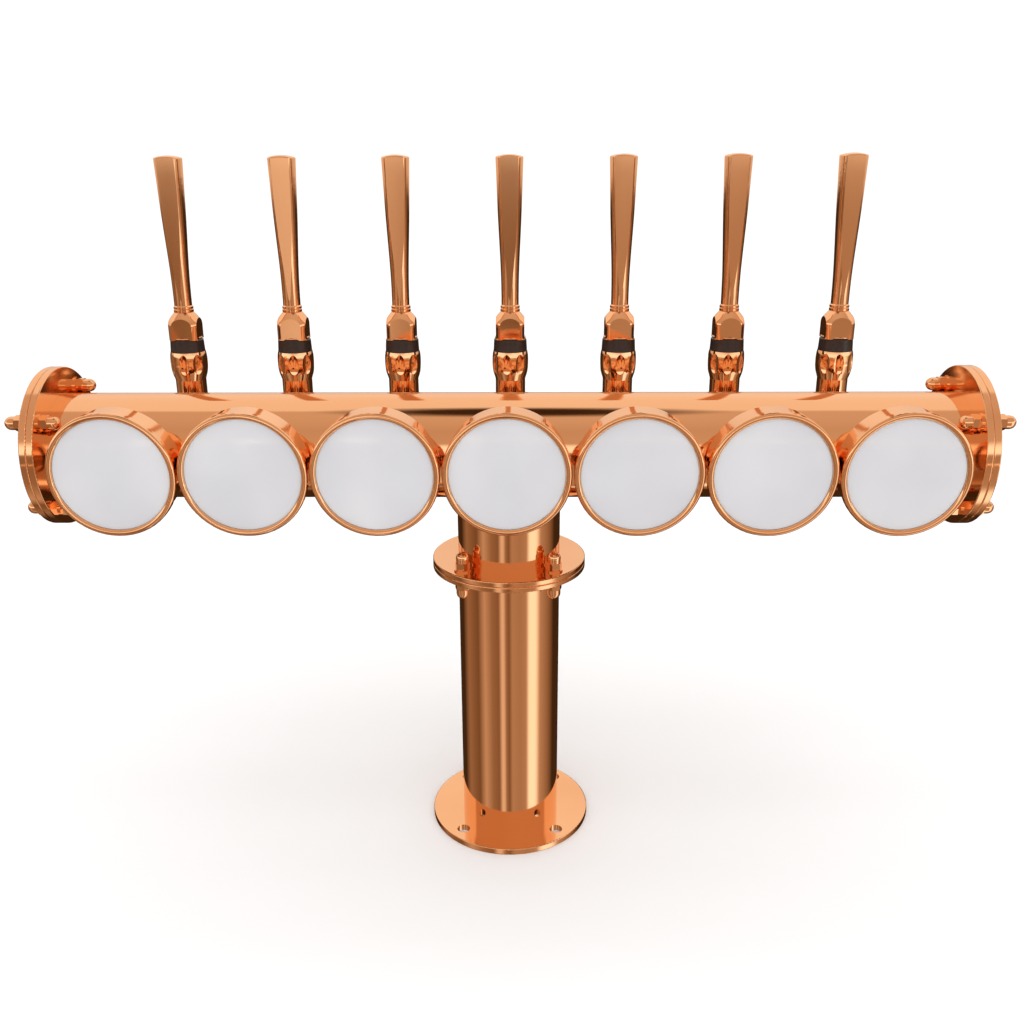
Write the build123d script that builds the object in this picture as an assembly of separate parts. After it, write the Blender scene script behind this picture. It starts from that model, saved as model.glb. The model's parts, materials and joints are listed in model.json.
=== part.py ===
"""Seven-tap T-shaped beer tower: a flanged column carries a horizontal arm tube with taps behind and lit
medallions in front.

Frame: millimetres, +X along the arm, -Y towards the drinkers (medallions), +Y towards the bartender (taps),
+Z up. The origin is the centre of the base flange's underside.
"""

import os
from math import cos, pi, sqrt

from build123d import *

# ---------------------------------------------------------------- driving dimensions

TUBE_R = 38.1  # 3 inch tube for the column, neck and arm
TUBE_WALL = 1.5
BORE_R = TUBE_R - TUBE_WALL

TAP_COUNT = 7
TAP_PITCH = 88.9  # 3.5 inch between taps
TAP_X = [(i - (TAP_COUNT - 1) / 2) * TAP_PITCH for i in range(TAP_COUNT)]
TAP_Y = 120.0  # tap axis behind the arm axis

ARM_Z = 309.0
ARM_HALF = 326.5  # half length of the arm tube

BASE_R = 62.5
BASE_T = 5.0
BASE_HOLE_R = 5.0
BASE_PCD_R = 51.5

COUPLING_R = 57.2
COUPLING_T = 4.0
COUPLING_Z = 220.0  # plane where the two coupling flanges meet

END_R = 57.0
END_T = 5.0
END_TURN = 11.3  # the end studs are clocked so that the front pair sits lower

STUD_R = 3.0
STUD_HOLE_R = 3.3
STUD_PCD_R = 47.0
STUD_ANGLES = [45, 135, 225, 315]
WASHER_R = 6.2
WASHER_T = 1.2
NUT_FLATS = 10.0
NUT_HEX_H = 5.2
NUT_DOME_R = 4.7
NUT_H = 13.0
NUT_THREAD_DEPTH = 9.0

GASKET_IN = 39.6
GASKET_OUT = 42.6
GASKET_T = 1.6

RIM_FILLET = 0.7  # softened rims of flanges and covers

# heights on a tap, from the shank axis up
BODY_BOTTOM = -14.0
BODY_R = 12.25
SHOULDER = 25.0  # ferrule nut sits here
NECK_R = 10.5
NECK_TOP = 36.0
FERRULE_TOP = 48.2
COLLAR_BOTTOM = 58.2
COLLAR_TOP = 80.0
HANDLE_TOP = 201.0
CHAMBER_R = 7.0
SEAT_R = 4.5
SEAT_TOP = -10.0
SEAT_BOTTOM = -11.2

# lever linkage, from the tap axis and the shank axis
PIVOT_Z = 48.6
PIN_R = 1.5
RUNNING_GAP = 0.05
TOE_Y = -5.0  # the toe sits in front of the pin, so pulling the handle back lifts the stem
TOE_R = 1.8
STEM_R = 2.0
DOME_R = 16.0  # the collar slides over this sphere, centred on the pin
DOME_INNER_R = 13.0
DOME_GAP = 0.4

# medallions, as distances along Y
LENS_R = 40.3
MEDALLION_TILT = 3.5  # the medallions sit a little below the arm's front line, square to its wall
BEZEL_R = 43.9
BEZEL_OPEN_R = 39.5
CUP_R = 42.2
CUP_WALL = 1.6
CUP_BACK = -43.0
BEZEL_BACK = -61.0
BEZEL_FRONT = -67.0
LENS_SEAT = -64.0

# piping
LINE_R = 4.0
LINE_BORE_R = 3.0
LINE_BEND_R = 14.0
LINE_PITCH = 9.0
LINE_DROP_X = 14.0
LINE_END_Z = 10.0
SHANK_INNER_Y = 18.0
CABLE_R = 2.0
WIRE_R = 1.2
CABLE_Y = -24.0
CABLE_DROP = 18.0  # the harness runs this far below the arm axis


# ---------------------------------------------------------------- helpers


def turned(*points):
    """A solid of revolution about Z from a closed outline of (radius, height) points."""
    outline = make_face(Polyline(*points, close=True))
    return revolve(Plane.XZ * outline, Axis.Z)


def turned_edges(edges):
    """A solid of revolution about Z from a closed outline of edges in (radius, height)."""
    return revolve(Plane.XZ * make_face(edges), Axis.Z)


def cylinder(radius, z0, z1):
    """A cylinder on the Z axis between two heights."""
    return Pos(0, 0, (z0 + z1) / 2) * Cylinder(radius, z1 - z0)


def ring(inner, outer, z0, z1):
    """A flat ring on the Z axis between two heights."""
    return cylinder(outer, z0, z1) - cylinder(inner, z0 - 1, z1 + 1)


def block(x0, x1, y0, y1, z0, z1):
    """A box between two corners."""
    return Pos((x0 + x1) / 2, (y0 + y1) / 2, (z0 + z1) / 2) * Box(x1 - x0, y1 - y0, z1 - z0)


def hexagon(flats, z0, z1):
    """A hexagonal prism on the Z axis, with its corners chamfered at both ends."""
    prism = Pos(0, 0, z0) * extrude(RegularPolygon(flats / 2, 6, major_radius=False), z1 - z0)
    corner = flats / 2 / cos(pi / 6)
    cut = 0.8 * (corner - flats / 2)
    keep = turned((0, z0), (corner - cut, z0), (corner + 0.01, z0 + cut), (corner + 0.01, z1 - cut),
                  (corner - cut, z1), (0, z1))
    return prism & keep


def on_circle(shape, radius, angles):
    """Copies of a shape, each moved out to a radius at an angle about Z."""
    return [Rot(0, 0, a) * Pos(radius, 0, 0) * shape for a in angles]


def cut_all(shape, cutters):
    """The shape with every cutter taken away."""
    for cutter in cutters:
        shape = shape - cutter
    return shape


def along_y(shape):
    """Turns a shape built on +Z so that it points along +Y."""
    return Rot(-90, 0, 0) * shape


def along_x(shape, side):
    """Turns a shape built on +Z so that it points along +X (side 1) or -X (side -1)."""
    return Rot(0, 90 * side, 0) * shape


def at_taps(shape):
    """One copy of a tap piece at each tap, from the tap's own frame."""
    return [Pos(x, TAP_Y, ARM_Z) * shape for x in TAP_X]


def on_arm(shape):
    """One copy of a piece at each tap's place along the arm, from a frame on the arm's axis."""
    return [Pos(x, 0, ARM_Z) * shape for x in TAP_X]


def group(shapes):
    """Separate solids kept together in one node."""
    return Compound(children=[s.solid() for s in shapes])


def rounded_rim(shape, radius, size):
    """Fillets the outer circular edges of a flange that lie at one radius from its axis."""
    rim = [e for e in shape.edges().filter_by(GeomType.CIRCLE) if abs(e.radius - radius) < 0.01]
    return fillet(rim, size)


# ---------------------------------------------------------------- column, neck and arm


def flange_ring(outer, thickness, z0, holes, hole_r, pcd_r):
    """A slip-on ring flange with through holes; the tube passes through its bore."""
    body = rounded_rim(ring(TUBE_R, outer, z0, z0 + thickness), outer, RIM_FILLET)
    drill = cylinder(hole_r, z0 - 1, z0 + thickness + 1)
    return cut_all(body, on_circle(drill, pcd_r, holes))


def base_flange():
    return flange_ring(BASE_R, BASE_T, 0, STUD_ANGLES, BASE_HOLE_R, BASE_PCD_R)


def column_tube():
    return ring(BORE_R, TUBE_R, 0, COUPLING_Z)


def column_top_flange():
    return flange_ring(COUPLING_R, COUPLING_T, COUPLING_Z - COUPLING_T, STUD_ANGLES, STUD_HOLE_R, STUD_PCD_R)


def gasket_ring(z0):
    return ring(GASKET_IN, GASKET_OUT, z0, z0 + GASKET_T)


def neck_flange():
    body = flange_ring(COUPLING_R, COUPLING_T, COUPLING_Z, STUD_ANGLES, STUD_HOLE_R, STUD_PCD_R)
    return body - gasket_ring(COUPLING_Z)


def arm_cylinder(radius, half):
    return Pos(0, 0, ARM_Z) * Rot(0, 90, 0) * Cylinder(radius, 2 * half)


def neck_tube():
    """The short stub under the arm, mitred to the arm's round underside."""
    stub = ring(BORE_R, TUBE_R, COUPLING_Z, ARM_Z)
    pads = Pos(0, 0, ARM_Z) * (along_y(cylinder(SADDLE_R, 0, 60)) + facing_out(cylinder(SPACER_R, 0, 60)))
    return (stub - arm_cylinder(TUBE_R, 2 * TUBE_R) - pads).solid()


def arm_tube():
    """The horizontal tube, drilled for shanks behind, medallion bolts in front and the neck below."""
    tube = arm_cylinder(TUBE_R, ARM_HALF) - arm_cylinder(BORE_R, ARM_HALF + 1)
    drills = [cylinder(BORE_R - 1, ARM_Z - TUBE_R - 5, ARM_Z - 10)]
    drills += on_arm(along_y(cylinder(SHANK_R, 20, TUBE_R + 10)))
    drills += on_arm(facing_out(cylinder(MEDALLION_BOLT_R, 20, TUBE_R + 10)))
    return cut_all(tube, drills)


def end_flange(side):
    """Ring flange welded round the arm's end, built on +Z and turned to one side."""
    plate = flange_ring(END_R, END_T, ARM_HALF - END_T, STUD_ANGLES, STUD_HOLE_R, STUD_PCD_R)
    return Pos(0, 0, ARM_Z) * Rot(END_TURN, 0, 0) * along_x(plate, side)


def end_cover(side):
    """Blind disc that closes the arm's end, grooved for a gasket."""
    disc = rounded_rim(cylinder(END_R, ARM_HALF, ARM_HALF + END_T), END_R, RIM_FILLET)
    drill = cylinder(STUD_HOLE_R, ARM_HALF - 1, ARM_HALF + END_T + 1)
    disc = cut_all(disc, on_circle(drill, STUD_PCD_R, STUD_ANGLES))
    return Pos(0, 0, ARM_Z) * Rot(END_TURN, 0, 0) * along_x(disc - gasket_ring(ARM_HALF), side)


def flange_gaskets():
    ends = [Pos(0, 0, ARM_Z) * along_x(gasket_ring(ARM_HALF), side) for side in (-1, 1)]
    return group([gasket_ring(COUPLING_Z)] + ends)


# ---------------------------------------------------------------- flange studs, washers and acorn nuts


def acorn_nut():
    """Dome nut standing on z = 0, with a blind threaded hole from below."""
    dome_base = NUT_H - NUT_DOME_R
    edges = [
        Line((0, 0), (NUT_DOME_R, 0)),
        Line((NUT_DOME_R, 0), (NUT_DOME_R, dome_base)),
        RadiusArc((NUT_DOME_R, dome_base), (0, NUT_H), -NUT_DOME_R),
        Line((0, NUT_H), (0, 0)),
    ]
    body = turned_edges(edges) + hexagon(NUT_FLATS, 0, NUT_HEX_H)
    return body - cylinder(STUD_R, -1, NUT_THREAD_DEPTH)


def stud_joint(low, high):
    """One stud with its washers and nuts, clamping plates between two heights at the stud circle."""
    reach = WASHER_T + NUT_THREAD_DEPTH - 1
    stud = cylinder(STUD_R, low - reach, high + reach)
    washers = [ring(STUD_HOLE_R, WASHER_R, z, z + WASHER_T) for z in (low - WASHER_T, high)]
    nuts = [Pos(0, 0, high + WASHER_T) * acorn_nut(), Pos(0, 0, low - WASHER_T) * Rot(180, 0, 0) * acorn_nut()]
    return [stud], washers, nuts


def all_stud_joints():
    """Every flange joint's studs, washers and nuts, as three lists."""
    studs, washers, nuts = [], [], []
    for plates, place in [
        (stud_joint(COUPLING_Z - COUPLING_T, COUPLING_Z + COUPLING_T), Location()),
        (stud_joint(ARM_HALF - END_T, ARM_HALF + END_T), Pos(0, 0, ARM_Z) * Rot(END_TURN, 0, 0) * Rot(0, 90, 0)),
        (stud_joint(ARM_HALF - END_T, ARM_HALF + END_T), Pos(0, 0, ARM_Z) * Rot(END_TURN, 0, 0) * Rot(0, -90, 0)),
    ]:
        for kept, made in zip((studs, washers, nuts), plates):
            kept += [place * s for piece in made for s in on_circle(piece, STUD_PCD_R, STUD_ANGLES)]
    return studs, washers, nuts


# ---------------------------------------------------------------- shank, union and saddle

SHANK_R = 11.0
SHANK_NIPPLE_R = 4.6
SHANK_BORE_R = 3.0
SHANK_COLLAR_R = 14.0
SADDLE_R = 18.0
SADDLE_OUT = 44.0  # outer face of the saddle behind the arm
SHANK_END = 60.0
LOCKNUT_FLATS = 27.0
LOCKNUT_FACE = 32.9
SEAL_T = 1.5
UNION_R = 17.5
UNION_START = 50.0
UNION_END = 69.0
TAIL_R = 10.0
TAIL_FLANGE_R = 12.4
TAIL_FLANGE_T = 3.5


def saddle(radius, bore, y_outer, sign):
    """A spacer pad, hollowed to sit on the arm's round wall, behind (sign 1) or in front (sign -1)."""
    pad = ring(bore, radius, TUBE_R - 8, y_outer)
    pad = rounded_rim(pad, radius, 0.5)
    pad = along_y(pad) if sign > 0 else facing_out(pad)
    hollow = Rot(0, 90, 0) * Cylinder(TUBE_R, 4 * radius)
    return (pad - hollow).solid()


def tap_shank():
    """Hollow threaded shank through the arm's wall, with a collar that bears on the saddle."""
    outer = turned((SHANK_BORE_R, SHANK_INNER_Y), (SHANK_NIPPLE_R, SHANK_INNER_Y), (SHANK_NIPPLE_R, 24),
                   (SHANK_R, 24), (SHANK_R, SADDLE_OUT), (SHANK_COLLAR_R, SADDLE_OUT),
                   (SHANK_COLLAR_R, SHANK_END), (SHANK_BORE_R, SHANK_END))
    return along_y(outer)


def shank_locknut():
    nut = hexagon(LOCKNUT_FLATS, LOCKNUT_FACE - 6, LOCKNUT_FACE) - cylinder(SHANK_R, 20, 40)
    return along_y(nut)


def union_nut():
    """Spanner nut that draws the tap's tail onto the shank, with six round grip notches."""
    tail_face = SHANK_END + TAIL_FLANGE_T
    body = turned((SHANK_COLLAR_R, UNION_START), (UNION_R - 0.8, UNION_START), (UNION_R, UNION_START + 0.8),
                  (UNION_R, UNION_END - 2.5), (UNION_R - 2.5, UNION_END), (TAIL_R + 0.1, UNION_END),
                  (TAIL_R + 0.1, tail_face), (SHANK_COLLAR_R, tail_face))
    notch = cylinder(2.4, UNION_START - 1, UNION_END + 1)
    return along_y(cut_all(body, on_circle(notch, UNION_R + 0.6, range(0, 360, 60))))


# ---------------------------------------------------------------- tap body, spout and bonnet


def tap_body():
    """Vertical valve body with a horizontal tail; the chamber ends in a seat above the spout."""
    vertical = turned((0, BODY_BOTTOM), (BODY_R - 1.5, BODY_BOTTOM), (BODY_R, BODY_BOTTOM + 1.5),
                      (BODY_R, SHOULDER), (NECK_R, SHOULDER), (NECK_R, NECK_TOP), (0, NECK_TOP))
    tail_end = TAP_Y - SHANK_END
    tail = turned((0, 0), (BODY_R - 0.5, 0), (BODY_R - 0.5, 15), (TAIL_R, 21), (TAIL_R, tail_end - TAIL_FLANGE_T),
                  (TAIL_FLANGE_R, tail_end - TAIL_FLANGE_T), (TAIL_FLANGE_R, tail_end), (0, tail_end))
    body = vertical + Rot(90, 0, 0) * tail
    bores = turned((0, BODY_BOTTOM - 1), (SPOUT_THREAD_R, BODY_BOTTOM - 1), (SPOUT_THREAD_R, SEAT_BOTTOM),
                   (SEAT_R, SEAT_BOTTOM), (SEAT_R, SEAT_TOP), (CHAMBER_R, SEAT_TOP),
                   (CHAMBER_R, NECK_TOP + 1), (0, NECK_TOP + 1))
    inlet = Rot(90, 0, 0) * cylinder(SHANK_BORE_R + 1, 0, tail_end + 1)
    return (body - bores - inlet).solid()


SPOUT_THREAD_R = 6.6
SPOUT_R = 6.2
SPOUT_BORE_R = 4.9
SPOUT_THROAT_R = 5.6  # wider just under the seat
SPOUT_TIP = -74.0
SPOUT_COLLAR_FLATS = 19.0


def tap_spout():
    """Screw-in pouring spout with a hexagonal collar."""
    tip_r = SPOUT_R - 0.7
    tube = turned((SPOUT_BORE_R, SPOUT_TIP), (tip_r, SPOUT_TIP), (SPOUT_R, SPOUT_TIP + 34), (SPOUT_R, -22),
                  (SPOUT_THREAD_R, -22), (SPOUT_THREAD_R, SEAT_BOTTOM), (SPOUT_THROAT_R, SEAT_BOTTOM),
                  (SPOUT_THROAT_R, -20), (SPOUT_BORE_R, -23))
    collar = hexagon(SPOUT_COLLAR_FLATS, BODY_BOTTOM - 7, BODY_BOTTOM) - cylinder(SPOUT_THROAT_R, -40, 0)
    return (tube + collar).solid()


BONNET_FLANGE_R = 10.4
BONNET_BOTTOM = 36.0
BONNET_LIP = 38.7
EAR_IN = 3.2
EAR_OUT = 5.8
EAR_R = 3.0
TONGUE_HALF = 2.9


def bonnet():
    """Plug on top of the chamber that guides the stem and carries two pivot ears."""
    plug = cylinder(BONNET_FLANGE_R, BONNET_BOTTOM, BONNET_LIP)
    for side in (-1, 1):
        x0, x1 = sorted((side * EAR_IN, side * EAR_OUT))
        ear = block(x0, x1, -EAR_R, EAR_R, BONNET_LIP - 1, PIVOT_Z)
        crown = Pos((x0 + x1) / 2, 0, PIVOT_Z) * Rot(0, 90, 0) * Cylinder(EAR_R, x1 - x0)
        plug += ear + crown
    pin_hole = Pos(0, 0, PIVOT_Z) * Rot(0, 90, 0) * Cylinder(PIN_R, 4 * EAR_OUT)
    return (plug - cylinder(STEM_R + RUNNING_GAP, 30, 60) - pin_hole).solid()


def pivot_pin():
    return Pos(0, 0, PIVOT_Z) * Rot(0, 90, 0) * Cylinder(PIN_R, 2 * EAR_OUT)


def ferrule_nut():
    """Bulged finger nut with eight scallops that clamps the bonnet to the body."""
    edges = [
        Line((NECK_R, SHOULDER), (BODY_R, SHOULDER)),
        Spline((BODY_R, SHOULDER), (13.4, 28.5), (14.4, 33), (14.8, 40), (14.0, FERRULE_TOP),
               tangents=[(0.25, 1), (-0.22, 1)]),
        Line((14.0, FERRULE_TOP), (NECK_R, FERRULE_TOP)),
        Line((NECK_R, FERRULE_TOP), (NECK_R, SHOULDER)),
    ]
    body = turned_edges(edges)
    return cut_all(body, on_circle(scallop_cutter(), SCALLOP_REACH, range(0, 360, 45))).solid()


FERRULE_TURNS = [0, 4, -3, -11, 3, -4, 0]  # where each nut happens to stop when tight
SCALLOP_R = 9.0  # cutter radius at its waist
SCALLOP_DEPTH = 1.5
SCALLOP_MID = 37.6
SCALLOP_HALF_H = 12.0
SCALLOP_REACH = 14.75 - SCALLOP_DEPTH + SCALLOP_R


def scallop_cutter():
    """A barrel on Z whose bulge leaves a shallow, upright oval in the nut."""
    end_r = SCALLOP_R - 1.9
    low, high = SCALLOP_MID - SCALLOP_HALF_H, SCALLOP_MID + SCALLOP_HALF_H
    edges = [
        Line((0, low), (end_r, low)),
        ThreePointArc((end_r, low), (SCALLOP_R, SCALLOP_MID), (end_r, high)),
        Line((end_r, high), (0, high)),
        Line((0, high), (0, low)),
    ]
    return turned_edges(edges)


def pivot_dome():
    """Dark ring over the pivot, whose round top the lever's collar slides on, slotted for the lever's rod."""
    rim_r, bore = 13.3, NECK_R
    rim_z = PIVOT_Z + sqrt(DOME_R**2 - rim_r**2)
    bore_z = PIVOT_Z + sqrt(DOME_INNER_R**2 - bore**2)
    edges = [
        Line((bore, FERRULE_TOP), (13.8, FERRULE_TOP)),
        Line((13.8, FERRULE_TOP), (rim_r, rim_z)),
        RadiusArc((rim_r, rim_z), (0, PIVOT_Z + DOME_R), -DOME_R),
        Line((0, PIVOT_Z + DOME_R), (0, PIVOT_Z + DOME_INNER_R)),
        RadiusArc((0, PIVOT_Z + DOME_INNER_R), (bore, bore_z), DOME_INNER_R),
        Line((bore, bore_z), (bore, FERRULE_TOP)),
    ]
    slot_half = ROD_R + 0.4
    slot = block(-slot_half, slot_half, -SLOT_FRONT, SLOT_REAR, PIVOT_Z + 6, PIVOT_Z + DOME_R + 1)
    return (turned_edges(edges) - slot).solid()


# ---------------------------------------------------------------- lever, handle and valve stem

COLLAR_FLAT = 11.6  # distance from the axis to each of the four flats
COLLAR_R = 14.2
PLINTH_R = 12.6
THREAD_R = 4.0
THREAD_TOP = 94.0
ROD_R = 3.0
SLOT_FRONT = 6.4  # how far the dome's slot reaches towards the drinkers
SLOT_REAR = 11.6


def lever():
    """Faceted collar, hollowed to slide on the dome, with a rod, pin barrel and toe below and a stud above."""
    profile = [
        Line((0, COLLAR_BOTTOM), (COLLAR_R, COLLAR_BOTTOM)),
        Line((COLLAR_R, COLLAR_BOTTOM), (COLLAR_R, 69.5)),
        Spline((COLLAR_R, 69.5), (11.6, 75.6), (7.9, COLLAR_TOP), tangents=[(0, 1), (-1, 1.05)]),
        Line((7.9, COLLAR_TOP), (0, COLLAR_TOP)),
        Line((0, COLLAR_TOP), (0, COLLAR_BOTTOM)),
    ]
    flats = block(-COLLAR_FLAT, COLLAR_FLAT, -COLLAR_FLAT, COLLAR_FLAT, COLLAR_BOTTOM, COLLAR_TOP)
    plinth = rounded_rim(cylinder(PLINTH_R, COLLAR_BOTTOM, COLLAR_BOTTOM + 1.8), PLINTH_R, 0.5)
    pivot = Pos(0, 0, PIVOT_Z)
    collar = (turned_edges(profile) & flats) + plinth - pivot * Sphere(DOME_R + DOME_GAP)
    barrel = pivot * Rot(0, 90, 0)
    inner = cylinder(ROD_R, PIVOT_Z, PIVOT_Z + DOME_R + 2) & block(-TONGUE_HALF, TONGUE_HALF, -9, 9, 0, 99)
    inner += barrel * Cylinder(EAR_R, 2 * TONGUE_HALF)
    inner += block(-1.4, 1.4, TOE_Y, 0, PIVOT_Z - 0.9, PIVOT_Z + 0.9) + Pos(0, TOE_Y, PIVOT_Z) * Sphere(TOE_R)
    stud = cylinder(THREAD_R, COLLAR_TOP - 1, THREAD_TOP)
    return (collar + inner + stud - barrel * Cylinder(PIN_R + RUNNING_GAP, 20)).solid()


def handle():
    """Long paddle: a round flaring bar scooped flat on its front and back, with a domed top."""
    crown_r = 34.0
    crown_edge = HANDLE_TOP - (crown_r - sqrt(crown_r**2 - 11.0**2))
    profile = [
        Line((0, COLLAR_TOP), (7.5, COLLAR_TOP)),
        Line((7.5, COLLAR_TOP), (7.9, COLLAR_TOP + 0.5)),
        Line((7.9, COLLAR_TOP + 0.5), (7.9, COLLAR_TOP + 2.2)),
        Line((7.9, COLLAR_TOP + 2.2), (7.3, COLLAR_TOP + 2.7)),
        Line((7.3, COLLAR_TOP + 2.7), (7.8, COLLAR_TOP + 3.2)),
        Line((7.8, COLLAR_TOP + 3.2), (7.8, COLLAR_TOP + 4.6)),
        Line((7.8, COLLAR_TOP + 4.6), (7.0, COLLAR_TOP + 5.6)),
        Spline((7.0, COLLAR_TOP + 5.6), (7.15, 104), (8.4, 134.8), (9.85, 165.4), (11.0, crown_edge),
               tangents=[(0, 1), (0.035, 1)]),
        RadiusArc((11.0, crown_edge), (0, HANDLE_TOP), -crown_r),
        Line((0, HANDLE_TOP), (0, COLLAR_TOP)),
    ]
    bar = turned_edges(profile)
    far = 30.0
    scoop_edges = [
        ThreePointArc((-6.98, 90), (-6.85, 131), (-8.5, HANDLE_TOP + 2)),
        Line((-8.5, HANDLE_TOP + 2), (-far, HANDLE_TOP + 2)),
        Line((-far, HANDLE_TOP + 2), (-far, 90)),
        Line((-far, 90), (-6.98, 90)),
    ]
    scoop = extrude(Plane.YZ * make_face(scoop_edges), 20, both=True)
    bar = bar - scoop - mirror(scoop, Plane.XZ)
    crown = bar.faces().sort_by(Axis.Z)[-1]
    bar = fillet(crown.edges(), 1.2)
    return (bar - cylinder(THREAD_R, COLLAR_TOP - 1, THREAD_TOP)).solid()


LAND_R = SEAT_R - 0.06
HEAD_HALF = 2.6
HEAD_LOW = PIVOT_Z - 8.6
FOOT_HIGH = PIVOT_Z - 5.9
HEAD_HIGH = PIVOT_Z + 3.6
SLOT_HALF = 1.95


def valve_stem():
    """Stem with a slotted fork for the lever's toe and a land that closes the seat."""
    rod = cylinder(STEM_R, SEAT_TOP, HEAD_LOW + 1)
    land_low, land_high = SEAT_BOTTOM - 0.1, SEAT_TOP - 0.4
    land = turned((0, land_low), (LAND_R, land_low), (LAND_R, land_high), (STEM_R, land_high + 2), (0, land_high + 2))
    foot = block(-HEAD_HALF, HEAD_HALF, TOE_Y - 3, 2, HEAD_LOW, FOOT_HIGH)
    fork = block(-HEAD_HALF, HEAD_HALF, TOE_Y - 3, TOE_Y + 1.1, HEAD_LOW, HEAD_HIGH)
    slot = block(-5, 5, TOE_Y - 1.9, TOE_Y + 3, PIVOT_Z - SLOT_HALF, PIVOT_Z + SLOT_HALF)
    return (rod + land + foot + fork - slot).solid()


# ---------------------------------------------------------------- medallions, built on +Z facing out of the arm

MEDALLION_BOLT_R = 5.0
MEDALLION_BOLT_BORE_R = 2.5
SPACER_R = 13.0
BOARD_R = 36.0


def facing_out(shape):
    """Turns a piece built on +Z so that its front faces -Y, tilted with the medallions."""
    return Rot(90 + MEDALLION_TILT, 0, 0) * shape


def medallion_cup():
    """Spun cup behind the lens, with a flat back bored for its bolt."""
    back, rim = -CUP_BACK, -BEZEL_BACK
    shell = turned((0, back), (CUP_R - 1.5, back), (CUP_R, back + 1.5), (CUP_R, rim), (CUP_R - CUP_WALL, rim),
                   (CUP_R - CUP_WALL, back + 2), (0, back + 2))
    return facing_out(shell - cylinder(MEDALLION_BOLT_R, 30, 60))


def medallion_bezel():
    """Polished front ring with a rolled lip that traps the lens against the cup."""
    back, front, seat = -BEZEL_BACK, -BEZEL_FRONT, -LENS_SEAT
    middle_r = (BEZEL_R + BEZEL_OPEN_R) / 2
    edges = [
        Line((CUP_R - CUP_WALL, back), (BEZEL_R - 0.4, back)),
        Line((BEZEL_R - 0.4, back), (BEZEL_R, back + 0.4)),
        Line((BEZEL_R, back + 0.4), (BEZEL_R, front - 1.8)),
        ThreePointArc((BEZEL_R, front - 1.8), (middle_r, front), (BEZEL_OPEN_R, front - 1.8)),
        Line((BEZEL_OPEN_R, front - 1.8), (BEZEL_OPEN_R, seat)),
        Line((BEZEL_OPEN_R, seat), (CUP_R - CUP_WALL, seat)),
        Line((CUP_R - CUP_WALL, seat), (CUP_R - CUP_WALL, back)),
    ]
    return facing_out(turned_edges(edges))


def cap_sphere(edge_r, edge_z, apex_z):
    """The sphere through a circle on Z and an apex above it."""
    height = apex_z - edge_z
    radius = (edge_r**2 + height**2) / (2 * height)
    return Pos(0, 0, apex_z - radius) * Sphere(radius)


def medallion_lens():
    """Opal lens: a shallow dome with a plain rim that sits behind the bezel's lip."""
    seat = -LENS_SEAT
    apex, thickness, rim_t = seat + 3.4, 2.5, 2.4
    dome_r = BEZEL_OPEN_R - 0.2
    dome = cylinder(dome_r, seat - rim_t, apex + 1) & cap_sphere(dome_r, seat + 0.9, apex)
    rim = ring(dome_r - 2, LENS_R, seat - rim_t, seat)
    return facing_out((dome + rim - cap_sphere(dome_r - 2, seat - rim_t, apex - thickness)).solid())


def led_board():
    """Round lamp board with a ring of light chips facing the lens and a hole for its wires."""
    back = -CUP_BACK + 6.0
    board = cylinder(BOARD_R, back, back + 1.6) - cylinder(WIRE_R, back - 1, back + 3)
    chips = on_circle(block(-1.8, 1.8, -1.8, 1.8, back + 1.6, back + 2.6), 24, range(0, 360, 45))
    posts = on_circle(cylinder(2.2, back - 4.0, back), 20, (30, 150, 270))
    for extra in chips + posts:
        board += extra
    return facing_out(board)


def medallion_bolt():
    """Hollow bolt through the cup's back, the spacer and the arm's wall."""
    back = -CUP_BACK
    bolt = cylinder(8.0, back + 2, back + 4.5) + cylinder(MEDALLION_BOLT_R, 30.2, back + 2)
    return facing_out(bolt - cylinder(MEDALLION_BOLT_BORE_R, 20, 60))


def medallion_nut():
    face = sqrt(BORE_R**2 - 9.3**2) - 0.1
    return facing_out(hexagon(16, face - 5, face) - cylinder(MEDALLION_BOLT_R, 20, 50))


# ---------------------------------------------------------------- beer lines, guide and wiring


def line_place(index):
    """Where one tap's line comes down the column: (x, y)."""
    steps = index - (TAP_COUNT - 1) // 2
    if steps == 0:
        return 0.0, 4.0
    side = 1 if steps > 0 else -1
    return side * LINE_DROP_X, -(abs(steps) - 1) * LINE_PITCH


def beer_line(index):
    """Tube from one shank's nipple, along the arm and down the column."""
    x, y = line_place(index)
    tap_x = TAP_X[index]
    points = [(tap_x, SHANK_INNER_Y, ARM_Z), (tap_x, y, ARM_Z)]
    if x != tap_x:
        points.append((x, y, ARM_Z))
    points.append((x, y, LINE_END_Z))
    bend = LINE_BEND_R if x != tap_x else 0.9 * (SHANK_INNER_Y - y)
    path = FilletPolyline(*points, radius=bend)
    section = Plane(origin=path @ 0, z_dir=path % 0) * (Circle(LINE_R) - Circle(LINE_BORE_R))
    return sweep(section, path=path)


def line_guide():
    """Plastic disc in the column's top that keeps the lines and the cable apart."""
    z0 = COUPLING_Z - 24
    disc = cylinder(BORE_R - 0.1, z0, z0 + 6)
    holes = [Pos(*line_place(i), 0) * cylinder(LINE_R + 0.05, z0 - 1, z0 + 7) for i in range(TAP_COUNT)]
    holes.append(Pos(0, CABLE_Y, 0) * cylinder(CABLE_R + 0.05, z0 - 1, z0 + 7))
    return cut_all(disc, holes)


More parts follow.
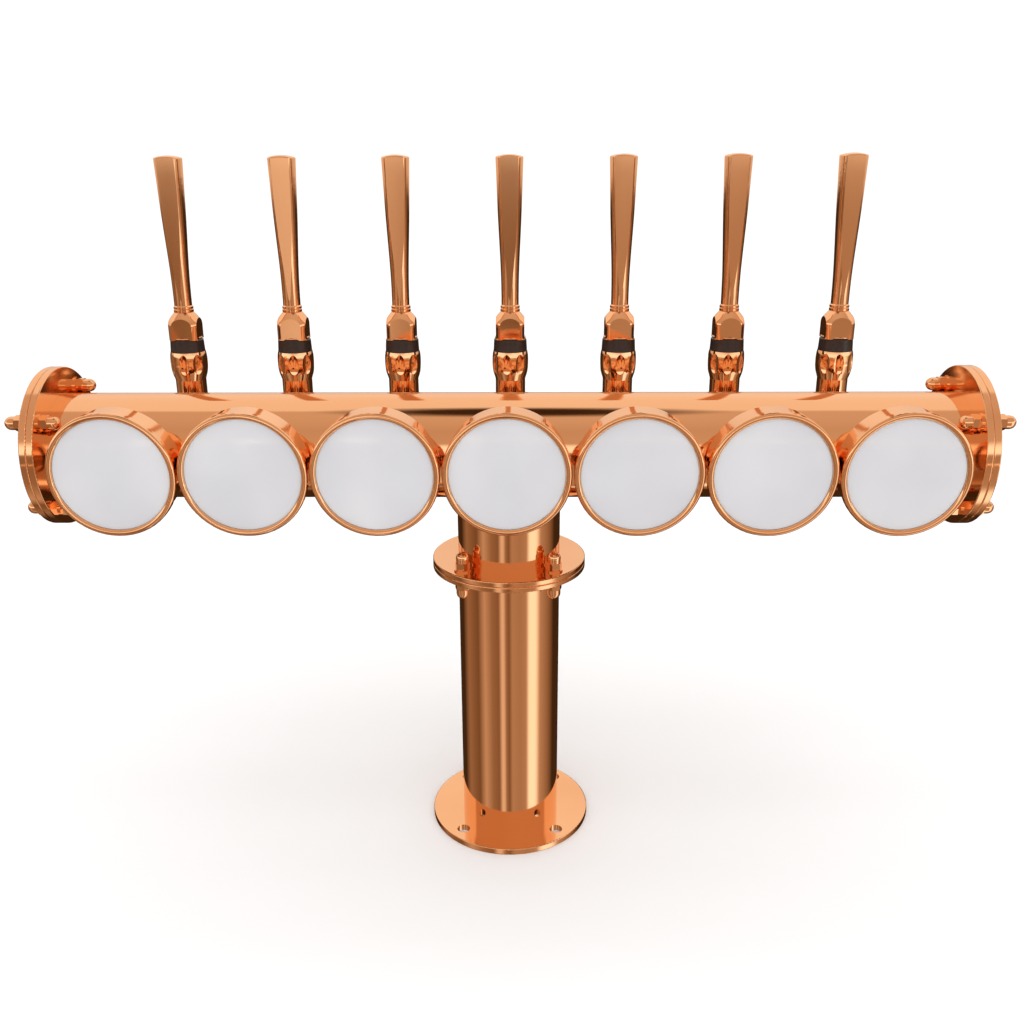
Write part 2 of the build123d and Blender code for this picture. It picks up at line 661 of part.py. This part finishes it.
def led_harness():
    """Supply cable up the column and along the arm, with a wire into each medallion's hollow bolt."""
    run_z = ARM_Z - CABLE_DROP
    half = TAP_X[-1] + 6
    cable = Pos(0, CABLE_Y, run_z) * Rot(0, 90, 0) * Cylinder(CABLE_R, 2 * half)
    cable += Pos(0, CABLE_Y, (LINE_END_Z + run_z) / 2) * Cylinder(CABLE_R, run_z - LINE_END_Z)
    for x in TAP_X:
        start, turn = (Vector(0, y, 0).rotate(Axis.X, MEDALLION_TILT) for y in (CUP_BACK - 7, CABLE_Y))
        corners = [(x, start.Y, ARM_Z + start.Z), (x, turn.Y, ARM_Z + turn.Z), (x, turn.Y, run_z)]
        path = FilletPolyline(*corners, radius=5.5)
        cable += sweep(Plane(origin=path @ 0, z_dir=path % 0) * Circle(WIRE_R), path=path)
    return cable.solid()


# ---------------------------------------------------------------- the assembly


def assembly():
    """Every node of the tower, by name."""
    studs, washers, nuts = all_stud_joints()
    nut = ferrule_nut()
    ferrules = [Pos(x, TAP_Y, ARM_Z) * Rot(0, 0, turn) * nut for x, turn in zip(TAP_X, FERRULE_TURNS)]
    spacers = on_arm(saddle(SADDLE_R, SHANK_R, SADDLE_OUT, 1))
    spacers += on_arm(saddle(SPACER_R, MEDALLION_BOLT_R, -CUP_BACK, -1))
    nodes = {
        "base_flange": base_flange(),
        "column_tube": column_tube(),
        "column_top_flange": column_top_flange(),
        "neck_flange": neck_flange(),
        "neck_tube": neck_tube(),
        "arm_tube": arm_tube(),
        "end_flange_left": end_flange(-1),
        "end_flange_right": end_flange(1),
        "end_cover_left": end_cover(-1),
        "end_cover_right": end_cover(1),
        "flange_gaskets": flange_gaskets(),
        "flange_studs": group(studs),
        "stud_washers": group(washers),
        "acorn_nuts": group(nuts),
        "saddle_spacers": group(spacers),
        "tap_shanks": group(on_arm(tap_shank())),
        "shank_locknuts": group(on_arm(shank_locknut())),
        "union_nuts": group(on_arm(union_nut())),
        "tap_bodies": group(at_taps(tap_body())),
        "tap_spouts": group(at_taps(tap_spout())),
        "bonnets": group(at_taps(bonnet())),
        "pivot_pins": group(at_taps(pivot_pin())),
        "ferrule_nuts": group(ferrules),
        "pivot_domes": group(at_taps(pivot_dome())),
        "medallion_cups": group(on_arm(medallion_cup())),
        "medallion_bezels": group(on_arm(medallion_bezel())),
        "medallion_lenses": group(on_arm(medallion_lens())),
        "led_boards": group(on_arm(led_board())),
        "medallion_bolts": group(on_arm(medallion_bolt())),
        "medallion_nuts": group(on_arm(medallion_nut())),
        "beer_lines": group([beer_line(i) for i in range(TAP_COUNT)]),
        "line_guide": line_guide(),
        "led_harness": led_harness(),
    }
    for name, shape in [("lever", lever()), ("handle", handle()), ("valve_stem", valve_stem())]:
        for number, placed in enumerate(at_taps(shape), start=1):
            nodes[f"{name}_{number}"] = placed
    return nodes


os.makedirs("parts", exist_ok=True)
for node, shape in assembly().items():
    export_step(shape, f"parts/{node}.step")
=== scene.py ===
"""Looks for the seven-tap beer tower: mirror copper, opal medallions, a white studio and the camera."""

import json
from math import cos, pi, radians, sin

import bmesh
import bpy
from mathutils import Matrix, Vector


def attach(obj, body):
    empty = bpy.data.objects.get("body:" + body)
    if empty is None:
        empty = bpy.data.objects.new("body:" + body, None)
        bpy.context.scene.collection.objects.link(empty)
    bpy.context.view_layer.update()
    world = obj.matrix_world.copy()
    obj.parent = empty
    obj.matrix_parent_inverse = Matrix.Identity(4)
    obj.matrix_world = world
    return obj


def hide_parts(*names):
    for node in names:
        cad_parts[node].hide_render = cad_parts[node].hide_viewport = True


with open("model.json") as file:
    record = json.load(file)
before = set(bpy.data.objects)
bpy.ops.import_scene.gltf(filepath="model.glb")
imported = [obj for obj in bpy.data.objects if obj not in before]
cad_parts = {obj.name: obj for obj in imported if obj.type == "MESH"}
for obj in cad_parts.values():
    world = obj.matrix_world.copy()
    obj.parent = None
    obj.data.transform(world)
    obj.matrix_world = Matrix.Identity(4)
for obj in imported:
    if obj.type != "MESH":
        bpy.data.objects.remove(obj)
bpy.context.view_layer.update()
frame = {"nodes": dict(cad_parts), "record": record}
NODES = frame["nodes"]

TAP_COUNT = 7
SMOOTH_ANGLE = radians(32)

# noise scales and bump depths are in object space, per metre and in metres
TONE_SCALE, TONE_DETAIL = 9.0, 3.0
WIPE_SCALE, WIPE_DETAIL = 55.0, 6.0
WAVE_SCALE, WAVE_DETAIL, WAVE_DEPTH = 22.0, 1.0, 0.0004
GRAIN_SCALE, GRAIN_DETAIL, GRAIN_DEPTH = 400.0, 2.0, 0.0001
CLOUD_SCALE, CLOUD_DETAIL = 14.0, 2.0
RAMP_SPAN = (0.3, 0.7)

# ---------------------------------------------------------------- materials


def new_material(name, colour, metallic, roughness):
    """A material with one Principled shader, and its node tree for more nodes."""
    material = bpy.data.materials.new(name)
    material.use_nodes = True
    tree = material.node_tree
    shader = tree.nodes["Principled BSDF"]
    shader.inputs["Base Color"].default_value = (*colour, 1)
    shader.inputs["Metallic"].default_value = metallic
    shader.inputs["Roughness"].default_value = roughness
    return material, tree, shader


def add_noise(tree, scale, detail, stretch=(1, 1, 1)):
    """Noise in object space, stretched along the axes."""
    place = tree.nodes.new("ShaderNodeTexCoord")
    mapping = tree.nodes.new("ShaderNodeMapping")
    mapping.inputs["Scale"].default_value = stretch
    noise = tree.nodes.new("ShaderNodeTexNoise")
    noise.inputs["Scale"].default_value = scale
    noise.inputs["Detail"].default_value = detail
    tree.links.new(place.outputs["Object"], mapping.inputs["Vector"])
    tree.links.new(mapping.outputs["Vector"], noise.inputs["Vector"])
    return noise


def add_ramp(tree, source, low, high):
    """A colour ramp between two colours, driven by a texture's value."""
    ramp = tree.nodes.new("ShaderNodeValToRGB")
    for stop, position, colour in zip(ramp.color_ramp.elements, RAMP_SPAN, (low, high)):
        stop.position = position
        stop.color = (*colour, 1)
    tree.links.new(source.outputs["Fac"], ramp.inputs["Fac"])
    return ramp


def add_range(tree, source, low, high):
    """A texture's value mapped to a range."""
    mapped = tree.nodes.new("ShaderNodeMapRange")
    mapped.inputs["To Min"].default_value = low
    mapped.inputs["To Max"].default_value = high
    tree.links.new(source.outputs["Fac"], mapped.inputs["Value"])
    return mapped


def add_bump(tree, source, shader, strength, distance):
    """Bumps the shader's normal with a texture."""
    bump = tree.nodes.new("ShaderNodeBump")
    bump.inputs["Strength"].default_value = strength
    bump.inputs["Distance"].default_value = distance
    tree.links.new(source.outputs["Fac"], bump.inputs["Height"])
    tree.links.new(bump.outputs["Normal"], shader.inputs["Normal"])


def polished(name, low, high, roughness, stretch=(1, 1, 1), bump=0.03):
    """Polished metal with faint colour variation, wipe marks in the roughness and some waviness."""
    material, tree, shader = new_material(name, high, 1.0, roughness[0])
    tone = add_ramp(tree, add_noise(tree, TONE_SCALE, TONE_DETAIL, stretch), low, high)
    tree.links.new(tone.outputs["Color"], shader.inputs["Base Color"])
    wipe = add_range(tree, add_noise(tree, WIPE_SCALE, WIPE_DETAIL, stretch), *roughness)
    tree.links.new(wipe.outputs["Result"], shader.inputs["Roughness"])
    wave = add_noise(tree, WAVE_SCALE, WAVE_DETAIL, stretch)
    add_bump(tree, wave, shader, bump, WAVE_DEPTH)
    return material


def plastic(name, low, high, roughness, bump=0.15):
    """Moulded plastic or rubber with a fine grain."""
    material, tree, shader = new_material(name, high, 0.0, roughness)
    grain = add_noise(tree, GRAIN_SCALE, GRAIN_DETAIL)
    tree.links.new(add_ramp(tree, grain, low, high).outputs["Color"], shader.inputs["Base Color"])
    add_bump(tree, grain, shader, bump, GRAIN_DEPTH)
    return material


def opal(name, low, high):
    """Opal acrylic: white with faint clouding, a little light under its surface and a glossy coat."""
    material, tree, shader = new_material(name, high, 0.0, 0.12)
    cloud = add_ramp(tree, add_noise(tree, CLOUD_SCALE, CLOUD_DETAIL), low, high)
    tree.links.new(cloud.outputs["Color"], shader.inputs["Base Color"])
    shader.inputs["Subsurface Weight"].default_value = 0.15
    shader.inputs["Subsurface Radius"].default_value = (0.002, 0.002, 0.002)
    shader.inputs["Coat Weight"].default_value = 0.5
    shader.inputs["Coat Roughness"].default_value = 0.05
    return material


COPPER_LOW, COPPER_HIGH = (0.88, 0.48, 0.25), (0.95, 0.56, 0.32)
# marks drawn out along a tube or a handle
ALONG_Z, ALONG_X, ALONG_HANDLE = (1, 1, 0.15), (0.15, 1, 1), (1, 1, 0.1)
TUBE_COPPER = polished("tube_copper", COPPER_LOW, COPPER_HIGH, (0.05, 0.10), ALONG_Z)
ARM_COPPER = polished("arm_copper", COPPER_LOW, COPPER_HIGH, (0.05, 0.10), ALONG_X)
PLATE_COPPER = polished("plate_copper", COPPER_LOW, COPPER_HIGH, (0.06, 0.14), bump=0.06)
FITTING_COPPER = polished("fitting_copper", COPPER_LOW, COPPER_HIGH, (0.04, 0.09))
HANDLE_COPPER = polished("handle_copper", COPPER_LOW, COPPER_HIGH, (0.07, 0.13), ALONG_HANDLE)
STEEL = polished("stainless", (0.60, 0.60, 0.61), (0.72, 0.72, 0.73), (0.12, 0.2))
DOME = plastic("dome_plastic", (0.012, 0.005, 0.004), (0.026, 0.011, 0.008), 0.3, bump=0.05)
RUBBER = plastic("gasket_rubber", (0.02, 0.02, 0.02), (0.04, 0.04, 0.04), 0.7)
BOARD = plastic("board_white", (0.75, 0.76, 0.75), (0.85, 0.86, 0.85), 0.5)
LINE = plastic("beer_line", (0.72, 0.74, 0.75), (0.82, 0.84, 0.85), 0.35)
GUIDE = plastic("guide_plastic", (0.07, 0.07, 0.08), (0.12, 0.12, 0.13), 0.55)
CABLE = plastic("cable_black", (0.02, 0.02, 0.02), (0.035, 0.035, 0.035), 0.5)
OPAL = opal("opal_lens", (0.60, 0.60, 0.63), (0.66, 0.66, 0.68))

BY_SLOT = {
    "plated_steel": PLATE_COPPER,
    "plated_brass": FITTING_COPPER,
    "stainless": STEEL,
    "dome_plastic": DOME,
    "opal_lens": OPAL,
    "gasket_rubber": RUBBER,
    "board": BOARD,
    "beer_line": LINE,
    "guide_plastic": GUIDE,
    "cable": CABLE,
}


def dress(piece, material):
    """Gives a piece one material, smooth faces and sharp edges."""
    piece.data.materials.clear()
    piece.data.materials.append(material)
    piece.data.polygons.foreach_set("use_smooth", [True] * len(piece.data.polygons))
    piece.data.set_sharp_from_angle(angle=SMOOTH_ANGLE)


def dress_nodes():
    """Dresses every CAD node by its slot, and the large ones with a grain along their length."""
    for row in frame["record"]["subparts"]:
        dress(NODES[row["node"]], BY_SLOT[row["material_slot"]])
    for name in ("column_tube", "neck_tube"):
        dress(NODES[name], TUBE_COPPER)
    dress(NODES["arm_tube"], ARM_COPPER)
    for number in range(1, TAP_COUNT + 1):
        dress(NODES[f"handle_{number}"], HANDLE_COPPER)


# ---------------------------------------------------------------- lenses

# sizes are in metres, and heights are measured outwards from the arm's centre line
TAP_PITCH = 0.0889
ARM_Z = 0.309
LENS_TILT = radians(93.5)  # from straight up to facing the drinkers, a little downwards
LENS_RIM_R, LENS_BACK, LENS_SEAT = 0.0403, 0.0616, 0.0640
LENS_APEX, LENS_DOME_R, LENS_SHOULDER = 0.0674, 0.0393, 0.0649
LENS_RINGS, LENS_SIDES = 14, 96


def lens_profile():
    """The lens from its apex out over the shallow dome, round its edge and back under its rim."""
    rise = LENS_APEX - LENS_SHOULDER
    sphere = (LENS_DOME_R ** 2 + rise ** 2) / (2 * rise)
    profile = []  # (radius, height) of each ring after the apex
    for ring in range(1, LENS_RINGS + 1):
        radius = LENS_DOME_R * sin(ring / LENS_RINGS * pi / 2)
        profile.append((radius, LENS_APEX - sphere + (sphere ** 2 - radius ** 2) ** 0.5))
    return profile + [(LENS_DOME_R, LENS_SEAT), (LENS_RIM_R, LENS_SEAT), (LENS_RIM_R, LENS_BACK)]


def build_lenses():
    """Seven opal lenses turned from one profile, each with a single closed skin."""
    turns = [2 * pi * side / LENS_SIDES for side in range(LENS_SIDES)]
    mesh = bmesh.new()
    for number in range(TAP_COUNT):
        centre = Matrix.Translation(((number - TAP_COUNT // 2) * TAP_PITCH, 0, ARM_Z))
        place = centre @ Matrix.Rotation(LENS_TILT, 4, "X")
        apex = mesh.verts.new(place @ Vector((0, 0, LENS_APEX)))
        rings = []
        for radius, height in lens_profile():
            ring = [Vector((radius * cos(turn), radius * sin(turn), height)) for turn in turns]
            rings.append([mesh.verts.new(place @ point) for point in ring])
        for side in range(LENS_SIDES):
            after = (side + 1) % LENS_SIDES
            mesh.faces.new((apex, rings[0][side], rings[0][after]))
            for inner, outer in zip(rings, rings[1:]):
                mesh.faces.new((inner[side], outer[side], outer[after], inner[after]))
        mesh.faces.new(list(reversed(rings[-1])))
    bmesh.ops.recalc_face_normals(mesh, faces=mesh.faces)
    data = bpy.data.meshes.new("opal_lenses")
    mesh.to_mesh(data)
    mesh.free()
    lenses = bpy.data.objects.new("opal_lenses", data)
    bpy.context.scene.collection.objects.link(lenses)
    dress(lenses, OPAL)
    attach(lenses, "tower")
    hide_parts("medallion_lenses")


# ---------------------------------------------------------------- studio

FLOOR_FRONT, FLOOR_BACK = -4.0, 1.2
SWEEP_R, SWEEP_TOP, SWEEP_HALF = 0.8, 4.0, 5.0
SWEEP_STEPS = 16


def studio_sweep():
    """White floor that curves up into a backdrop."""
    profile = [(FLOOR_FRONT, 0.0), (FLOOR_BACK, 0.0)]
    for step in range(1, SWEEP_STEPS + 1):
        turn = step / SWEEP_STEPS * pi / 2
        profile.append((FLOOR_BACK + SWEEP_R * sin(turn), SWEEP_R * (1 - cos(turn))))
    profile.append((FLOOR_BACK + SWEEP_R, SWEEP_TOP))
    mesh = bmesh.new()
    rows = [[mesh.verts.new((x, y, z)) for x in (-SWEEP_HALF, SWEEP_HALF)] for y, z in profile]
    for low, high in zip(rows, rows[1:]):
        mesh.faces.new((low[0], low[1], high[1], high[0]))
    data = bpy.data.meshes.new("studio_sweep")
    mesh.to_mesh(data)
    mesh.free()
    sweep = bpy.data.objects.new("studio_sweep", data)
    bpy.context.scene.collection.objects.link(sweep)
    material, _, _ = new_material("studio_white", (0.93, 0.93, 0.93), 0.0, 0.9)
    dress(sweep, material)
    sweep.visible_glossy = False


TENT_R, TENT_SUBDIVISIONS = 3.0, 4
TENT_CENTRE = (0, 0, 0.28)
TENT_POWER = 1.45
STRIP_DROP, STRIP_HALF, STRIP_POWER = 0.19, 0.02, 5.0  # a thin lamp in front, below the horizon
BACK_EDGE, HORIZON_EDGE = 12.0, 30.0  # how sharply the bands change at the dome's back and horizon
# The bands are set one by one, not measured from any real studio. Each is (position, brightness).
# These go round the lower half, where 0 is behind and 0.5 in front. The narrow ones from 0.435 to 0.57
# are placed so that single handles get the tones they have in the photograph.
LOW_BANDS = [
    (0.0, 0.03), (0.14, 0.04), (0.20, 0.24), (0.29, 0.14), (0.34, 0.42), (0.39, 0.24), (0.435, 0.18),
    (0.455, 0.60), (0.468, 0.55), (0.48, 0.26), (0.50, 0.16), (0.52, 0.34), (0.57, 0.30), (0.61, 0.34),
    (0.635, 0.98), (0.675, 0.95), (0.71, 0.36), (0.78, 0.22), (0.84, 0.04), (1.0, 0.03),
]
# These go up the upper half, in front and behind, from the horizon to the zenith.
HIGH_BANDS = [
    (0.0, 0.55), (0.06, 1.0), (0.18, 0.95), (0.30, 0.46), (0.7, 0.44), (0.97, 0.50), (0.992, 0.04),
    (1.0, 0.03),
]
BACK_BANDS = [(0.0, 0.55), (0.5, 0.72), (0.97, 0.70), (0.992, 0.04), (1.0, 0.03)]
SHADE_TINT, LIGHT_TINT = (1.0, 0.48, 0.17), (1.0, 0.95, 0.88)  # dim is warm, bright nearly white
TINT_CLEAR = 0.9  # brightness from which a band has the light tint


def add_math(tree, operation, first, second=None):
    """A math node on one or two sockets or numbers."""
    node = tree.nodes.new("ShaderNodeMath")
    node.operation = operation
    for socket, value in zip(node.inputs, (first, second)):
        if value is None:
            continue
        if isinstance(value, (int, float)):
            socket.default_value = value
        else:
            tree.links.new(value, socket)
    return node.outputs["Value"]


def add_bands(tree, factor, bands):
    """A ramp with a stop for each (position, brightness), tinted by its brightness."""
    ramp = tree.nodes.new("ShaderNodeValToRGB")
    stops = ramp.color_ramp.elements
    stops[0].position = bands[0][0]
    stops[-1].position = bands[-1][0]
    for position, _ in bands[1:-1]:
        stops.new(position)
    for stop, (_, level) in zip(stops, bands):
        share = min(level / TINT_CLEAR, 1.0)
        tint = [shade + share * (light - shade) for shade, light in zip(SHADE_TINT, LIGHT_TINT)]
        stop.color = (*(level * part for part in tint), 1)
    tree.links.new(factor, ramp.inputs["Fac"])
    return ramp.outputs["Color"]


def add_clamped(tree, value, slope):
    """A value times a slope, held between 0 and 1."""
    return add_math(tree, "MINIMUM", add_math(
        tree, "MAXIMUM", add_math(tree, "MULTIPLY", value, slope), 0.0), 1.0)


def add_mix(tree, factor, first, second):
    """Mixes two colours by a factor."""
    mix = tree.nodes.new("ShaderNodeMix")
    mix.data_type = "RGBA"
    tree.links.new(factor, mix.inputs["Factor"])
    tree.links.new(first, mix.inputs[6])
    tree.links.new(second, mix.inputs[7])
    return mix.outputs[2]


def reflection_tent():
    """A banded dome that only glossy rays see, in place of a photographer's cards and flags."""
    material = bpy.data.materials.new("tent_bands")
    material.use_nodes = True
    tree = material.node_tree
    tree.nodes.clear()
    place = tree.nodes.new("ShaderNodeTexCoord")
    unit = tree.nodes.new("ShaderNodeVectorMath")
    unit.operation = "NORMALIZE"
    tree.links.new(place.outputs["Object"], unit.inputs[0])
    split = tree.nodes.new("ShaderNodeSeparateXYZ")
    tree.links.new(unit.outputs["Vector"], split.inputs["Vector"])
    x, y, z = (split.outputs[axis] for axis in "XYZ")
    turn = add_math(tree, "ARCTAN2", x, add_math(tree, "MULTIPLY", y, -1.0))
    around = add_math(tree, "ADD", add_math(tree, "DIVIDE", turn, 2 * pi), 0.5)
    behind = add_clamped(tree, y, BACK_EDGE)
    above = add_clamped(tree, z, HORIZON_EDGE)
    high = add_mix(tree, behind, add_bands(tree, z, HIGH_BANDS), add_bands(tree, z, BACK_BANDS))
    glow = tree.nodes.new("ShaderNodeEmission")
    tree.links.new(add_mix(tree, above, add_bands(tree, around, LOW_BANDS), high), glow.inputs["Color"])
    strip = add_math(tree, "ABSOLUTE", add_math(tree, "ADD", z, STRIP_DROP))
    strip = add_math(tree, "SUBTRACT", 1.0, add_math(tree, "DIVIDE", strip, STRIP_HALF))
    strip = add_math(tree, "MAXIMUM", strip, 0.0)
    ahead = add_math(tree, "MAXIMUM", add_math(tree, "MULTIPLY", y, -STRIP_POWER), 0.0)
    power = add_math(tree, "ADD", add_math(tree, "MULTIPLY", strip, ahead), TENT_POWER)
    tree.links.new(power, glow.inputs["Strength"])
    output = tree.nodes.new("ShaderNodeOutputMaterial")
    tree.links.new(glow.outputs["Emission"], output.inputs["Surface"])

    mesh = bmesh.new()
    bmesh.ops.create_icosphere(mesh, subdivisions=TENT_SUBDIVISIONS, radius=TENT_R)
    data = bpy.data.meshes.new("reflection_tent")
    mesh.to_mesh(data)
    mesh.free()
    tent = bpy.data.objects.new("reflection_tent", data)
    tent.location = TENT_CENTRE
    bpy.context.scene.collection.objects.link(tent)
    dress(tent, material)
    tent.visible_camera = False
    tent.visible_diffuse = False
    tent.visible_transmission = False
    tent.visible_shadow = False


def softbox(name, place, aim, size, power):
    """A rectangular area light at a place, aimed at a point."""
    light = bpy.data.lights.new(name, "AREA")
    light.shape = "RECTANGLE"
    light.size, light.size_y = size
    light.energy = power
    lamp = bpy.data.objects.new(name, light)
    lamp.location = place
    lamp.rotation_euler = (Vector(aim) - Vector(place)).to_track_quat("-Z", "Y").to_euler()
    lamp.visible_camera = False
    lamp.visible_glossy = False
    bpy.context.scene.collection.objects.link(lamp)


MIDDLE, BACKDROP = (0, 0, 0.28), (0, 2.0, 0.6)
# name, place, aim, size in metres, power in watts
SOFTBOXES = [
    ("overhead", (0, -0.6, 2.2), MIDDLE, (2.6, 1.6), 11),
    ("front", (0.3, -2.4, 1.2), MIDDLE, (2.6, 1.2), 9),
    ("backdrop_wash", (0, 0.9, 3.0), BACKDROP, (4.5, 0.8), 12),
]
WORLD_STRENGTH = 0.93


def lights():
    """Soft light from above and in front, light on the backdrop, and an even white world."""
    for lamp in SOFTBOXES:
        softbox(*lamp)
    world = bpy.data.worlds.new("studio_world")
    world.use_nodes = True
    background = world.node_tree.nodes["Background"]
    background.inputs["Color"].default_value = (1, 1, 1, 1)
    background.inputs["Strength"].default_value = WORLD_STRENGTH
    bpy.context.scene.world = world


# ---------------------------------------------------------------- camera

CAMERA_X, CAMERA_BACK, CAMERA_Z = 0.0024, 0.7195, 0.503
CAMERA_PITCH, CAMERA_ROLL, OBJECT_YAW = 18.86, -0.245, 0.753  # degrees
CAMERA_LENS, CAMERA_SENSOR, CAMERA_NEAR = 35.88, 36, 0.01


def camera():
    """The camera in front of the tower, a little above the arm and looking down."""
    data = bpy.data.cameras.new("camera")
    data.sensor_width = CAMERA_SENSOR
    data.lens = CAMERA_LENS
    data.clip_start = CAMERA_NEAR
    eye = bpy.data.objects.new("camera", data)
    place = Matrix.Translation((CAMERA_X, -CAMERA_BACK, CAMERA_Z))
    pitch = Matrix.Rotation(radians(90 - CAMERA_PITCH), 4, "X")
    roll = Matrix.Rotation(radians(CAMERA_ROLL), 4, "Z")
    eye.matrix_world = Matrix.Rotation(radians(OBJECT_YAW), 4, "Z") @ (place @ pitch @ roll)
    bpy.context.scene.collection.objects.link(eye)
    bpy.context.scene.camera = eye
    bpy.context.scene.view_settings.view_transform = "Standard"


dress_nodes()
build_lenses()
studio_sweep()
reflection_tent()
lights()
camera()
